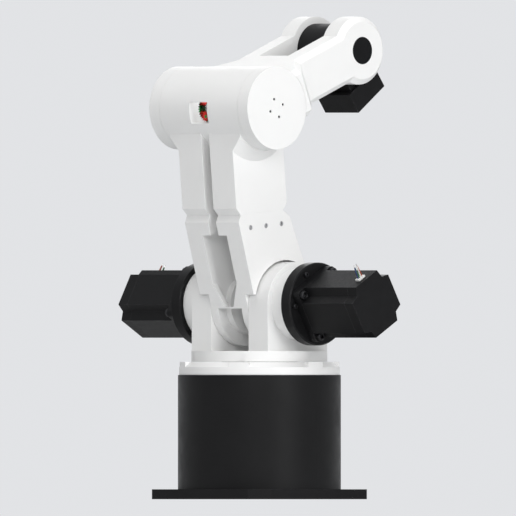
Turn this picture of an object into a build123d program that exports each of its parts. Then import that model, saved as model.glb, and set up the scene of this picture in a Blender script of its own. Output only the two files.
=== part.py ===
from build123d import *
from math import cos, degrees, pi, radians, sin, tan
import os

# Desk-size robot arm with a turning base, a shoulder driven from both sides, an elbow,
# a forked forearm, a wrist and a turning tool flange.
# Millimetres. Z is up, X runs along the shoulder, elbow and wrist axles, and the forearm
# points to +Y. The origin is the middle of the base plate's underside.

# Fits shared by all pieces
running_fit = 0.05
seat_fit = 0.02
moving_gap = 0.3

# Base
plate_side = 168.3
plate_thick = 9.9
plate_corner = 16.3
anchor_edge = 16.15
anchor_bore = 4.5
shell_radius = 81.5
shell_wall = 4.5
waist_floor_gap = 4.9
rib_radius = 5.5
rib_circle_radius = 72.0
rib_count = 6

# Fixed flange on top of the base
flange_radius = 80.3
flange_height = 13.0
flange_bevel_height = 5.2
flange_bevel_depth = 6.3
lug_width = 20.4
throat_radius = 22.0

# Slewing bearing
slew_radius = 46.0
slew_split_radius = 38.0
slew_bore_radius = 30.0
slew_height = 10.0

# Turntable
disc_radius = 68.0
disc_height = 10.7
disc_bore = 9.0
waist_shaft_radius = 7.0
hub_grip_depth = 9.0

# Uprights and the shoulder axle
shoulder_rise = 47.0
upright_inner = 26.6
upright_outer = 53.7
upright_radius = 41.9
upright_bore = 14.0
spigot_length = 4.0
boss_radius = 36.5
boss_end = 71.1
shoulder_bearing_radius = 24.0
shoulder_bearing_length = 20.0
shoulder_shaft_radius = 12.0

# Gearboxes
gearbox_radius = 41.5
gearbox_length = 13.2
gearbox_bolt_gap = 6.2
gearbox_bolt_turn = 153.8
gearbox_bolt_spread = 30.0
gearbox_grip = 10.0
gearbox_bevel = 1.0
waist_gearbox_radius = 30.0
waist_gearbox_length = 28.0
waist_gearbox_bevel = 2.0

# Motors of the waist and the shoulder
motor_bolt_edge = 5.45
motor_notch_reach = 3.45
motor_notch_depth = 2.8
motor_flange_length = 9.0
motor_flange_round = 5.0
motor_body_length = 60.0
motor_rear_length = 12.4
motor_bolt_spacing = 47.1
motor_turn = 30.0
lead_radius = 0.8
lead_length = 17.5
lead_setback = 8.0
lead_spacing = 2.0
lead_count = 4
lead_block_width = 10.0
lead_block_depth = 5.0
lead_block_height = 2.0

# Lower link
link_half_width = 38.0
cheek_outer = 26.0
cheek_inner = 17.0
hub_radius = 42.2
hub_lean = 20.0
ring_radius = 30.5
ring_inner = 10.0
arch_clearance = 2.1
foot_radius = 47.3
front_foot_angle = 58.0
front_heel_angle = 76.0
back_foot_angle = 54.0
front_shoulder_depth = 32.6
back_shoulder_depth = 39.9
link_bevel = 7.0
groove_half_depth = 30.0
slot_half_width = 5.8
slot_depth = 40.0
pocket_top = 86.0
pocket_back = 12.0
web_thick = 6.0
web_height = 25.0
web_strip = 1.5

# Upper link and elbow housing
elbow_setback = 44.8
elbow_rise = 196.0
upper_lean = 5.1
upper_length = 105.1
upper_half_width = 38.0
upper_half_depth = 35.9
upper_offset = 1.1
tenon_length = 18.0
tenon_half_width = 25.0
tenon_front = 26.0
tenon_back = 29.9
link_bolt_drop = 13.6
link_bolt_spacing = 21.8
link_bolt_offset = 5.8
link_head = 2.5
housing_radius = 41.5
housing_half = 55.0
housing_wall = 5.0
cover_thick = 6.0
collar_radius = 53.0
collar_rise = 9.8
collar_length = 11.6
window_low = -13.0
window_high = 12.0
window_up = 13.0
window_down = 16.8

# Planetary stage inside the elbow
gear_module = 0.8
sun_teeth = 12
planet_teeth = 12
planet_count = 3
gear_width = 6.0
tooth_rise = 0.7
tooth_fall = 0.9
tooth_slack = 0.14
pressure_angle = 20.0
planet_start = 238.0
gear_face = -26.8
ring_face = -26.3
ring_thick = 10.7
carrier_thick = 3.4
carrier_radius = 15.2
planet_pin_radius = 1.6
sun_shaft_radius = 2.5
elbow_shaft_radius = 8.0
elbow_bearing_radius = 16.0
elbow_flange_radius = 13.5
elbow_flange_thick = 4.0
elbow_motor_side = 42.3
elbow_motor_round = 6.0
elbow_motor_length = 29.0
elbow_motor_gap = 1.0
elbow_plate_thick = 5.0

# Forearm
forearm_tilt = 21.5
forearm_length = 156.7
ear_thick = 14.0
ear_radius = 41.5
cap_thick = 3.0
cap_bolt_circle_radius = 9.5
cap_bolt_radius = 1.4
cap_bolt_turn = 21.5
cap_bolt_count = 4
cap_bolt_sunk = 0.6
fork_inner = 20.7
fork_outer = 44.7
fork_half_depth = 24.8
fork_bevel = 5.3
fork_slot_start = 79.7
flare_end = 70.1
yoke_clearance = 2.2
tip_radius = 34.0

# Wrist and tool drive
wrist_cap_radius = 13.7
wrist_cap_thick = 3.2
wrist_axle_radius = 8.0
drum_radius = 27.0
tool_tilt = -53.8
neck_half_depth = 17.0
box_start = 37.6
box_end = 59.2
box_half_width = 23.5
box_half_depth = 22.4
box_bevel = 3.0
tool_flange_radius = 16.0
tool_flange_thick = 5.0
tool_flange_proud = 0.8
tool_bolt_circle_radius = 12.0
tool_bolt_count = 4
tool_bolt_radius = 1.65
tool_pilot_radius = 6.0
tool_pilot_depth = 3.0
tool_shaft_radius = 4.0

# Screws, by thread size
m3_radius = 1.5
m4_radius = 2.0
m5_radius = 2.5
head_ratio = 1.7
screw_grip = 10.0
screw_end_gap = 1.0

# Places worked out from the sizes above
plate_top = plate_thick
motor_length = motor_flange_length + motor_body_length + motor_rear_length
shell_height = waist_gearbox_length + motor_length + waist_floor_gap
shell_top = plate_top + shell_height
flange_top = shell_top + flange_height
disc_bottom = flange_top + moving_gap
disc_top = flange_top + disc_height + moving_gap
shoulder_height = disc_top + shoulder_rise
bearing_floor = flange_top - slew_height
anchor_spacing = plate_side - 2 * anchor_edge
motor_side = motor_bolt_spacing + 2 * motor_bolt_edge
motor_notch = motor_bolt_spacing / 2 - motor_notch_reach
motor_mouth = motor_notch - motor_notch_depth
gearbox_bolt_circle_radius = motor_side / 2 + gearbox_bolt_gap
gearbox_end = boss_end + gearbox_length
sun_pitch_radius = gear_module * sun_teeth / 2
planet_pitch_radius = gear_module * planet_teeth / 2
ring_teeth = sun_teeth + 2 * planet_teeth
ring_pitch_radius = gear_module * ring_teeth / 2
planet_orbit = sun_pitch_radius + planet_pitch_radius
ear_inner = housing_half + moving_gap
ear_outer = ear_inner + ear_thick
cap_seat = ear_outer - cap_thick
housing_bore = housing_radius - housing_wall
cover_inside = housing_half - cover_thick
elbow_motor_start = cover_inside - elbow_motor_gap - elbow_motor_length
elbow_plate_face = elbow_motor_start - elbow_plate_thick
shoulder_at = Pos(0, 0, shoulder_height)
lower_at = shoulder_at * Rot(hub_lean, 0, 0)
elbow_at = Pos(0, -elbow_setback, shoulder_height + elbow_rise)
upper_at = elbow_at * Rot(upper_lean, 0, 0)
forearm_at = elbow_at * Rot(forearm_tilt, 0, 0)
wrist_at = forearm_at * Pos(0, forearm_length, 0) * Rot(tool_tilt - forearm_tilt, 0, 0)


def bar_x(radius, x_from, x_to, y=0.0, z=0.0):
    """Round bar along X."""
    middle = (x_from + x_to) / 2
    return Pos(middle, y, z) * Rot(0, 90, 0) * Cylinder(radius, x_to - x_from)


def bar_y(radius, y_from, y_to, x=0.0, z=0.0):
    """Round bar along Y."""
    middle = (y_from + y_to) / 2
    return Pos(x, middle, z) * Rot(90, 0, 0) * Cylinder(radius, y_to - y_from)


def bar_z(radius, z_from, z_to, x=0.0, y=0.0):
    """Round bar along Z."""
    middle = (z_from + z_to) / 2
    return Pos(x, y, middle) * Cylinder(radius, z_to - z_from)


def block(x_from, x_to, y_from, y_to, z_from, z_to):
    """Box between two corners."""
    size = (x_to - x_from, y_to - y_from, z_to - z_from)
    middle = Pos((x_from + x_to) / 2, (y_from + y_to) / 2, (z_from + z_to) / 2)
    return middle * Box(*size)


def slab_x(outline, x_from, x_to):
    """Outline drawn in the Y-Z plane, carried along X."""
    return extrude(Plane.YZ.offset(x_from) * outline, x_to - x_from)


def screw(thread_radius, grip, head_height=0.0):
    """Cap screw that points down, its head standing on the X-Y plane."""
    height = head_height or 2 * thread_radius
    head = bar_z(thread_radius * head_ratio, 0, height)
    return head + bar_z(thread_radius, -grip, 0)


def right_and_left(shape):
    """The piece of the +X side and its mirror image."""
    return [shape, mirror(shape, about=Plane.YZ)]


def polar(radius, angle):
    """Flat point at a radius and an angle in degrees."""
    return (radius * cos(radians(angle)), radius * sin(radians(angle)))


def rib_places():
    """Places of the screw columns round the base, each below a lug of the flange."""
    return PolarLocations(rib_circle_radius, rib_count)


def base_plate():
    """Square foot with cut corners and four anchor holes."""
    square = Rectangle(plate_side, plate_side)
    outline = chamfer(square.vertices(), plate_corner)
    plate = extrude(outline, plate_thick)
    for place in GridLocations(anchor_spacing, anchor_spacing, 2, 2):
        plate -= place * bar_z(anchor_bore, 0, plate_thick)
    for place in rib_places():
        plate -= place * bar_z(m4_radius + running_fit, 0, plate_thick)
        plate -= place * bar_z(m4_radius * head_ratio + moving_gap, 0, 2 * m4_radius)
    return plate


def base_shell():
    """Round casing with screw columns inside."""
    wall = bar_z(shell_radius, plate_top, shell_top)
    wall -= bar_z(shell_radius - shell_wall, plate_top, shell_top)
    for place in rib_places():
        wall += place * bar_z(rib_radius, plate_top, shell_top)
    for place in rib_places():
        wall -= place * bar_z(m4_radius + seat_fit, plate_top, plate_top + screw_grip)
        wall -= place * bar_z(m4_radius + seat_fit, shell_top - screw_grip, shell_top)
    return wall


def base_screws():
    """Screws that come up through the foot."""
    reach = plate_thick - 2 * m4_radius + screw_grip - screw_end_gap
    pin = Rot(180, 0, 0) * screw(m4_radius, reach)
    return [place * Pos(0, 0, 2 * m4_radius) * pin for place in rib_places()]


def flange_screws():
    """Screws in the lugs of the fixed flange."""
    drop = flange_top - 2 * m4_radius
    pin = screw(m4_radius, drop - shell_top + screw_grip - screw_end_gap)
    return [place * Pos(0, 0, drop) * pin for place in rib_places()]


def top_flange():
    """Fixed white flange with a bevelled rim that six lugs interrupt."""
    bevel_bottom = flange_top - flange_bevel_height
    body = bar_z(flange_radius, shell_top, bevel_bottom)
    rim = Pos(0, 0, bevel_bottom + flange_bevel_height / 2)
    body += rim * Cone(flange_radius, flange_radius - flange_bevel_depth, flange_bevel_height)
    spoke = Box(2 * flange_radius, lug_width, flange_bevel_height)
    round_rim = rim * Cylinder(flange_radius, flange_bevel_height)
    for turn in range(rib_count // 2):
        body += round_rim & (rim * Rot(0, 0, turn * 360 / rib_count) * spoke)
    body -= bar_z(slew_radius + seat_fit, bearing_floor, flange_top)
    body -= bar_z(throat_radius, shell_top, bearing_floor)
    for place in rib_places():
        body -= place * bar_z(m4_radius + running_fit, shell_top, flange_top)
        head_room = m4_radius * head_ratio + moving_gap
        body -= place * bar_z(head_room, flange_top - 2 * m4_radius, flange_top)
    return body


def slew_outer_ring():
    """Fixed ring of the slewing bearing."""
    ring = bar_z(slew_radius, bearing_floor, flange_top)
    return ring - bar_z(slew_split_radius + moving_gap / 2, bearing_floor, flange_top)


def slew_inner_ring():
    """Turning ring of the slewing bearing, clear of the floor of its pocket."""
    low = bearing_floor + moving_gap
    ring = bar_z(slew_split_radius - moving_gap / 2, low, disc_bottom)
    return ring - bar_z(slew_bore_radius, low, disc_bottom)


def turntable_disc():
    """Turning disc that carries both uprights."""
    disc = bar_z(disc_radius, disc_bottom, disc_top)
    disc -= bar_z(disc_bore, disc_bottom, disc_top)
    for place in upright_screw_places():
        disc -= place * bar_z(m5_radius + running_fit, disc_bottom, disc_top)
        head_room = m5_radius * head_ratio + moving_gap
        disc -= place * bar_z(head_room, disc_bottom, disc_bottom + 2 * m5_radius)
    return disc


def upright_screw_places():
    """Places of the screws that hold the uprights down."""
    middle = (upright_inner + upright_outer) / 2
    spread = upright_radius - 2 * m5_radius * head_ratio
    return [Pos(side * middle, end * spread) for side in (1, -1) for end in (1, 0, -1)]


def upright_screws():
    """Screws that come up through the disc into the uprights."""
    pin = Rot(180, 0, 0) * screw(m5_radius, disc_height - 2 * m5_radius + screw_grip)
    low = disc_bottom + 2 * m5_radius
    return [place * Pos(0, 0, low) * pin for place in upright_screw_places()]


def waist_hub():
    """Hub under the disc that the waist drive turns."""
    low = bearing_floor + moving_gap
    hub = bar_z(slew_bore_radius - seat_fit, low, disc_bottom)
    return hub - bar_z(waist_shaft_radius + seat_fit, low, low + hub_grip_depth)


def waist_shaft():
    """Output shaft of the waist gearbox."""
    top = bearing_floor + moving_gap + hub_grip_depth
    return bar_z(waist_shaft_radius, shell_top - gearbox_grip, top)


def waist_gearbox():
    """Round gearbox that hangs under the fixed flange."""
    low = shell_top - waist_gearbox_length
    case = bar_z(waist_gearbox_radius, low, shell_top)
    case = chamfer(case.edges().group_by(Axis.Z)[0], waist_gearbox_bevel)
    bore = waist_shaft_radius + running_fit
    return case - bar_z(bore, shell_top - gearbox_grip - moving_gap, shell_top)


def upright():
    """Upright of the +X side with its round top and outer boss."""
    width = 2 * upright_radius
    leg = Pos(0, (disc_top + shoulder_height) / 2) * Rectangle(width, shoulder_height - disc_top)
    outline = leg + Pos(0, shoulder_height) * Circle(upright_radius)
    body = slab_x(outline, upright_inner, upright_outer)
    body += bar_x(boss_radius, upright_outer, boss_end, z=shoulder_height)
    bearing_end = upright_inner + shoulder_bearing_length
    bearing_seat = shoulder_bearing_radius + seat_fit
    body -= bar_x(bearing_seat, upright_inner, bearing_end, z=shoulder_height)
    body -= bar_x(upright_bore, bearing_end, boss_end, z=shoulder_height)
    for place in upright_screw_places():
        body -= place * bar_z(m5_radius + seat_fit, disc_top, disc_top + screw_grip)
    return body


def shoulder_bearing():
    """Sealed bearing of the +X side, held in the upright."""
    end = upright_inner + shoulder_bearing_length
    ring = bar_x(shoulder_bearing_radius, upright_inner, end, z=shoulder_height)
    bore = shoulder_shaft_radius + running_fit
    return ring - bar_x(bore, upright_inner, end, z=shoulder_height)


def shoulder_shaft():
    """Shaft from the gearbox of the +X side into the link's cheek."""
    end = boss_end + gearbox_grip
    return bar_x(shoulder_shaft_radius, ring_inner, end, z=shoulder_height)


def shoulder_gearbox():
    """Flat round gearbox of the +X side."""
    case = bar_x(gearbox_radius, boss_end, gearbox_end, z=shoulder_height)
    case = chamfer(case.edges().filter_by(GeomType.CIRCLE), gearbox_bevel)
    spigot_end = boss_end - spigot_length
    case += bar_x(upright_bore - moving_gap, spigot_end, boss_end, z=shoulder_height)
    bore = shoulder_shaft_radius + running_fit
    reach = boss_end + gearbox_grip + moving_gap
    return case - bar_x(bore, spigot_end, reach, z=shoulder_height)


def gearbox_screws():
    """Bolt heads of the +X side, in two opposite pairs round the gearbox face."""
    head = bar_x(m3_radius * head_ratio, gearbox_end, gearbox_end + 2 * m3_radius)
    heads = []
    for half_turn in (0, 180):
        for side in (1, -1):
            angle = gearbox_bolt_turn + side * gearbox_bolt_spread + half_turn
            y, z = polar(gearbox_bolt_circle_radius, angle)
            heads.append(Pos(0, y, z + shoulder_height) * head)
    return heads


def motor_section():
    """Square with a V-shaped channel along each corner for a mounting bolt."""
    half = motor_side / 2
    notch = make_face(Polyline(
        (motor_mouth, half),
        (motor_notch, motor_notch),
        (half, motor_mouth),
        (motor_side, motor_mouth),
        (motor_side, motor_side),
        (motor_mouth, motor_side),
        close=True,
    ))
    section = Rectangle(motor_side, motor_side)
    for turn in range(4):
        section -= Rot(0, 0, 90 * turn) * notch
    return section


def motor_pieces():
    """Front flange, wound body and rear cover of a motor that points to -Z from Z 0."""
    square = RectangleRounded(motor_side, motor_side, motor_flange_round)
    front = Pos(0, 0, -motor_flange_length) * extrude(square, motor_flange_length)
    bolt = m5_radius + running_fit
    for place in GridLocations(motor_bolt_spacing, motor_bolt_spacing, 2, 2):
        front -= place * bar_z(bolt, -motor_flange_length, 0)
    body_end = -motor_flange_length - motor_body_length
    body = Pos(0, 0, body_end) * extrude(motor_section(), motor_body_length)
    rear_end = body_end - motor_rear_length
    rear = Pos(0, 0, rear_end) * extrude(motor_section(), motor_rear_length)
    return front, body, rear


def motor_bolts(grip):
    """Four bolts in the channels of a motor that points to -Z from Z 0."""
    bolt = Rot(180, 0, 0) * screw(m5_radius, grip, m5_radius * head_ratio)
    places = GridLocations(motor_bolt_spacing, motor_bolt_spacing, 2, 2)
    return [place * Pos(0, 0, -motor_flange_length) * bolt for place in places]


def shoulder_motor_at():
    """Place of the +X side's motor, its front face on the gearbox."""
    turn = Rot(motor_turn, 0, 0)
    return Pos(gearbox_end, 0, shoulder_height) * turn * Rot(0, -90, 0)


def lead_block():
    """Small moulded exit where the leads leave a motor."""
    z = -motor_length + lead_setback
    half_y = lead_block_width / 2
    half_z = lead_block_depth / 2
    top = motor_side / 2 + lead_block_height
    return block(motor_side / 2, top, -half_y, half_y, z - half_z, z + half_z)


def lead(index):
    """One of four short leads, counted from one end of the row."""
    z = -motor_length + lead_setback
    y = (index - (lead_count - 1) / 2) * lead_spacing
    start = motor_side / 2 + lead_block_height
    return bar_x(lead_radius, start, start + lead_length, y=y, z=z)


def on_both_motors(piece):
    """A piece of a motor's own frame, set on the +X motor and on the -X motor."""
    right = shoulder_motor_at() * piece
    return [right, Rot(0, 0, 180) * right]


def upper_point(depth, height):
    """Point of the Y-Z plane from the upper link's own depth and height."""
    spot = upper_at * Pos(0, depth, height)
    return (spot.position.Y, spot.position.Z)


def shoulder_point(radius, angle):
    """Point of the Y-Z plane round the shoulder, its angle from the link's own line."""
    y, z = polar(radius, 90 + hub_lean + angle)
    return (y, z + shoulder_height)


def front_foot():
    """Lower end of the wide part's front face."""
    return shoulder_point(foot_radius, front_foot_angle)


def front_shoulder():
    """Upper end of the lower link's front face."""
    return upper_point(-front_shoulder_depth, -upper_length - link_bevel)


def lower_outline():
    """Side view of the lower link, with its cheeks' front carried down to the hub."""
    return [
        shoulder_point(hub_radius, front_heel_angle),
        front_foot(),
        front_shoulder(),
        upper_point(upper_offset - groove_half_depth, -upper_length),
        upper_point(upper_offset + groove_half_depth, -upper_length),
        upper_point(back_shoulder_depth, -upper_length - link_bevel),
        shoulder_point(foot_radius, -back_foot_angle),
        (0, shoulder_height),
    ]


def front_web():
    """Thin web across the front of the hub, with an opening that narrows downwards."""
    heel = shoulder_point(hub_radius, front_heel_angle)
    foot = front_foot()
    shoulder = front_shoulder()
    web_top = heel[1] + web_height
    share = (web_top - foot[1]) / (shoulder[1] - foot[1])
    top = (foot[0] + share * (shoulder[0] - foot[0]), web_top)
    front = [heel, foot, top]
    back = [(y + web_thick, z) for y, z in reversed(front)]
    web = slab_x(make_face(Polyline(*front, *back, close=True)), -cheek_inner, cheek_inner)
    opening = make_face(Polyline(
        (-slot_half_width, heel[1] + web_strip),
        (slot_half_width, heel[1] + web_strip),
        (cheek_inner, web_top),
        (-cheek_inner, web_top),
        close=True,
    ))
    return web - extrude(Plane.XZ * opening, 2 * foot_radius, both=True)


def lower_link():
    """Wide link that narrows to two cheeks between the uprights."""
    corners = lower_outline()
    wide_outline = make_face(Polyline(*corners[1:], close=True))
    wide = slab_x(wide_outline, -link_half_width, link_half_width)
    arch = bar_x(upright_radius + arch_clearance, -link_half_width, link_half_width)
    wide -= shoulder_at * arch
    cheek_outline = make_face(Polyline(*corners, close=True))
    body = wide + slab_x(cheek_outline, -cheek_outer, cheek_outer)
    body += shoulder_at * bar_x(hub_radius, -cheek_outer, cheek_outer)
    front = -2 * foot_radius
    pocket = block(-cheek_inner, cheek_inner, front, pocket_back, front, pocket_top)
    body -= lower_at * pocket
    body += front_web()
    ring = bar_x(ring_radius, ring_inner, cheek_inner, z=shoulder_height)
    for side in right_and_left(ring):
        body += side
    slot_end = slot_depth - foot_radius
    slot = block(-slot_half_width, slot_half_width, front, slot_end, pocket_top, elbow_rise)
    body -= lower_at * slot
    shaft_bore = shoulder_shaft_radius + seat_fit
    body -= shoulder_at * bar_x(shaft_bore, -cheek_outer, cheek_outer)
    body -= tenon(seat_fit)
    for bore in link_bolt_room():
        for side in right_and_left(bore):
            body -= side
    return body


def link_bolt_places():
    """Middles of the three link bolts of a side, on the link's middle plane."""
    height = -upper_length - link_bolt_drop
    depths = [link_bolt_offset + step * link_bolt_spacing for step in (-1, 0, 1)]
    return [upper_at * Pos(0, depth, height) for depth in depths]


def link_bolt_room():
    """Holes of the +X side's link bolts, as one body of separate bars."""
    low = tenon_half_width - screw_grip
    bore = bar_x(m3_radius + seat_fit, low, link_half_width)
    head_room = m3_radius * head_ratio + seat_fit
    bore += bar_x(head_room, link_half_width - link_head, link_half_width)
    return [place * bore for place in link_bolt_places()]


def tenon(clearance=0.0):
    """Tongue of the upper link that the lower link takes."""
    half_x = tenon_half_width + clearance
    front = -tenon_front - clearance
    back = tenon_back + clearance
    low = -upper_length - tenon_length - clearance
    return upper_at * block(-half_x, half_x, front, back, low, -upper_length)


def window_cut():
    """Window in the front of the elbow housing, square to the upper link."""
    low = -housing_radius * sin(radians(window_down))
    high = housing_radius * sin(radians(window_up))
    return upper_at * block(window_low, window_high, -2 * housing_radius, -housing_bore / 2, low, high)


def collar():
    """Cone-shaped collar under the +X end of the housing."""
    ring = Pos(upper_half_width + collar_length / 2, 0, 0) * Rot(0, 90, 0)
    cone = ring * Cone(collar_radius, collar_radius - collar_rise, collar_length)
    front = upper_offset - upper_half_depth
    back = upper_offset + upper_half_depth
    return cone & block(0, ear_inner, front, back, -2 * collar_radius, 0)


def upper_link():
    """Column with the round elbow housing across its top."""
    front = upper_offset - upper_half_depth
    back = upper_offset + upper_half_depth
    top_of_bevel = -upper_length + link_bevel
    outline = make_face(Polyline(
        (upper_offset - groove_half_depth, -upper_length),
        (upper_offset + groove_half_depth, -upper_length),
        (back, top_of_bevel),
        (back, 0),
        (front, 0),
        (front, top_of_bevel),
        close=True,
    ))
    body = slab_x(outline, -upper_half_width, upper_half_width)
    for side in right_and_left(collar()):
        body += side
    body += bar_x(housing_radius, -housing_half, housing_half)
    low = -upper_length - tenon_length
    slot = block(-slot_half_width, slot_half_width, 2 * front, front + slot_depth, low, 0)
    slot -= bar_x(housing_radius, -slot_half_width, slot_half_width)
    body = upper_at * body + tenon()
    body -= upper_at * slot
    body -= elbow_at * bar_x(housing_bore, -housing_half, housing_half)
    body -= window_cut()
    for bore in link_bolt_room():
        for side in right_and_left(bore):
            body -= side
    return body


def link_screws():
    """Screws of both sides that clamp the lower link to the tenon."""
    reach = link_half_width - link_head - tenon_half_width + screw_grip
    bolt = screw(m3_radius, reach, link_head)
    pin = Pos(link_half_width - link_head, 0, 0) * Rot(0, 90, 0) * bolt
    pins = [place * pin for place in link_bolt_places()]
    return pins + [mirror(one, about=Plane.YZ) for one in pins]


def housing_cover():
    """Cover of the +X end of the elbow housing, with the bearing's seat."""
    cover = bar_x(housing_bore - seat_fit, cover_inside, housing_half)
    return cover - bar_x(elbow_bearing_radius + seat_fit, cover_inside, housing_half)


def elbow_bearing():
    """Sealed bearing of the +X side's cover."""
    ring = bar_x(elbow_bearing_radius, cover_inside, housing_half)
    bore = elbow_shaft_radius + running_fit
    return ring - bar_x(bore, cover_inside, housing_half)


def gear_outline(pitch_radius, teeth, rise, fall, slack):
    """Outline of a gear: one straight-sided tooth repeated round its root circle."""
    root = pitch_radius - fall
    tip = pitch_radius + rise
    half = pi * gear_module / 4 - slack
    flank = tan(radians(pressure_angle))
    root_half = degrees((half + flank * fall) / root)
    tip_half = degrees((half - flank * rise) / tip)
    tooth = make_face(Polyline(
        polar(root - fall / 2, -root_half),
        polar(root, -root_half),
        polar(tip, -tip_half),
        polar(tip, tip_half),
        polar(root, root_half),
        polar(root - fall / 2, root_half),
        close=True,
    ))
    outline = Circle(root)
    for index in range(teeth):
        outline += Rot(0, 0, index * 360 / teeth) * tooth
    return outline


def gear(pitch_radius, teeth, phase):
    """Outside gear along X in the elbow's own frame, one tooth at the phase angle."""
    outline = gear_outline(pitch_radius, teeth, tooth_rise, tooth_fall, tooth_slack)
    return slab_x(Rot(0, 0, phase) * outline, gear_face - gear_width, gear_face)


def ring_gear():
    """Fixed partition of the housing with the inside gear cut in it."""
    low = ring_face - ring_thick
    plate = bar_x(housing_bore - seat_fit, low, ring_face)
    plate -= bar_x(carrier_radius + moving_gap, low, gear_face - gear_width - moving_gap)
    teeth = gear_outline(ring_pitch_radius, ring_teeth, tooth_fall, tooth_rise, -tooth_slack)
    return upper_at * (plate - slab_x(teeth, low, ring_face))


def planet_angle(index):
    """Place of a planet round the elbow axle, in degrees from the upper link's depth."""
    return planet_start + index * 360 / planet_count


def planet(index):
    """Planet gear with a running bore, in mesh with the sun and the inside gear."""
    angle = planet_angle(index)
    ring_share = angle * ring_teeth / planet_teeth
    phase = angle - ring_share
    y, z = polar(planet_orbit, angle)
    wheel = gear(planet_pitch_radius, planet_teeth, phase)
    wheel -= bar_x(planet_pin_radius + running_fit, gear_face - gear_width, gear_face)
    return upper_at * Pos(0, y, z) * wheel


def sun_gear():
    """Sun gear and its shaft, which runs back into the elbow motor."""
    first_gap = planet_start * (1 + ring_teeth / sun_teeth) + 180 * planet_teeth / sun_teeth
    phase = first_gap + 180 / sun_teeth
    end = elbow_motor_start + gearbox_grip
    wheel = gear(sun_pitch_radius, sun_teeth, phase)
    return upper_at * (wheel + bar_x(sun_shaft_radius, gear_face - gear_width, end))


def planet_carrier():
    """Disc behind the planets with a pin for each of them."""
    front = gear_face - gear_width - 2 * moving_gap
    disc = bar_x(carrier_radius, front - carrier_thick, front)
    for index in range(planet_count):
        y, z = polar(planet_orbit, planet_angle(index))
        disc += bar_x(planet_pin_radius, front, gear_face, y=y, z=z)
    return upper_at * disc


def elbow_shaft_left():
    """Output shaft from the carrier to the -X ear, with a flange under the cap."""
    front = gear_face - gear_width - 2 * moving_gap - carrier_thick
    shaft = bar_x(elbow_shaft_radius, -cap_seat, front)
    flange = bar_x(elbow_flange_radius, -cap_seat, elbow_flange_thick - cap_seat)
    return forearm_at * (shaft + flange)


def elbow_shaft_right():
    """Stub axle of the +X ear, with the same flange."""
    shaft = bar_x(elbow_shaft_radius, cover_inside, cap_seat)
    flange = bar_x(elbow_flange_radius, cap_seat - elbow_flange_thick, cap_seat)
    return forearm_at * (shaft + flange)


def elbow_motor_plate():
    """Round plate that holds the elbow motor in the housing."""
    plate = bar_x(housing_bore - seat_fit, elbow_plate_face, elbow_motor_start)
    bore = bar_x(sun_shaft_radius + running_fit, elbow_plate_face, elbow_motor_start)
    return elbow_at * (plate - bore)


def elbow_motor():
    """Small square motor inside the housing."""
    start = elbow_motor_start
    square = RectangleRounded(elbow_motor_side, elbow_motor_side, elbow_motor_round)
    case = slab_x(square, start, start + elbow_motor_length)
    bore = sun_shaft_radius + running_fit
    return upper_at * (case - bar_x(bore, start, start + gearbox_grip + moving_gap))


def forearm_plan():
    """Outline of the forearm from above, in its own frame, before the slot is cut."""
    flare = ear_outer - fork_outer
    wide_end = flare_end - flare
    return make_face(Polyline(
        (-ear_outer, 0),
        (-ear_outer, wide_end),
        (-fork_outer, flare_end),
        (-fork_outer, forearm_length),
        (fork_outer, forearm_length),
        (fork_outer, flare_end),
        (ear_outer, wide_end),
        (ear_outer, 0),
        close=True,
    ))


def fork_tip():
    """Round end of the +X fork arm with a bevelled outer rim."""
    tip = bar_x(tip_radius, fork_inner, fork_outer)
    rim = tip.edges().filter_by(GeomType.CIRCLE).sort_by(Axis.X)[-1]
    return Pos(0, forearm_length, 0) * chamfer(rim, fork_bevel)


def forearm_frame():
    """Yoke round the elbow housing that runs on into the fork of the wrist."""
    body = extrude(forearm_plan(), fork_half_depth, both=True)
    ends = body.edges().filter_by(lambda edge: abs(edge.center().X) > fork_inner)
    long_edges = [edge for edge in ends if abs(abs(edge.center().Z) - fork_half_depth) < 0.01]
    body = chamfer(long_edges, fork_bevel)
    reach = 2 * forearm_length
    body -= block(-fork_inner, fork_inner, fork_slot_start, reach, -tip_radius, tip_radius)
    for side in right_and_left(fork_tip()):
        body += side
    for side in right_and_left(bar_x(ear_radius, ear_inner, cap_seat)):
        body += side
    body -= bar_x(housing_radius + yoke_clearance, -ear_inner, ear_inner)
    for side in right_and_left(ear_room()):
        body -= side
    seat = Pos(0, forearm_length, 0) * bar_x(wrist_cap_radius + seat_fit, fork_inner, fork_outer)
    for side in right_and_left(seat):
        body -= side
    return forearm_at * body


def ear_room():
    """Room in the +X ear for the stub axle, its flange and the cap."""
    room = bar_x(elbow_shaft_radius + seat_fit, ear_inner, ear_outer)
    room += bar_x(elbow_flange_radius + seat_fit, cap_seat - elbow_flange_thick, ear_outer)
    return room + bar_x(ear_radius + moving_gap, cap_seat, ear_outer)


def cap_bolt_spots():
    """Places of a hub cap's screws round the elbow axle."""
    step = 360 / cap_bolt_count
    turns = [cap_bolt_turn + step * index for index in range(cap_bolt_count)]
    return [polar(cap_bolt_circle_radius, turn) for turn in turns]


def hub_cap():
    """Round cap on the +X ear with four screw holes."""
    cap = bar_x(ear_radius, cap_seat, ear_outer)
    for y, z in cap_bolt_spots():
        cap -= bar_x(cap_bolt_radius + seat_fit, cap_seat, ear_outer, y=y, z=z)
    return elbow_at * cap


def cap_screws():
    """Short grub screws in both hub caps, sunk a little below the face."""
    pins = []
    for y, z in cap_bolt_spots():
        pins.append(elbow_at * bar_x(cap_bolt_radius, cap_seat, ear_outer - cap_bolt_sunk, y=y, z=z))
    return pins + [mirror(pin, about=Plane.YZ) for pin in pins]


def wrist_cap():
    """Black cover set flush in the +X fork tip."""
    return wrist_at * bar_x(wrist_cap_radius, fork_outer - wrist_cap_thick, fork_outer)


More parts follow.
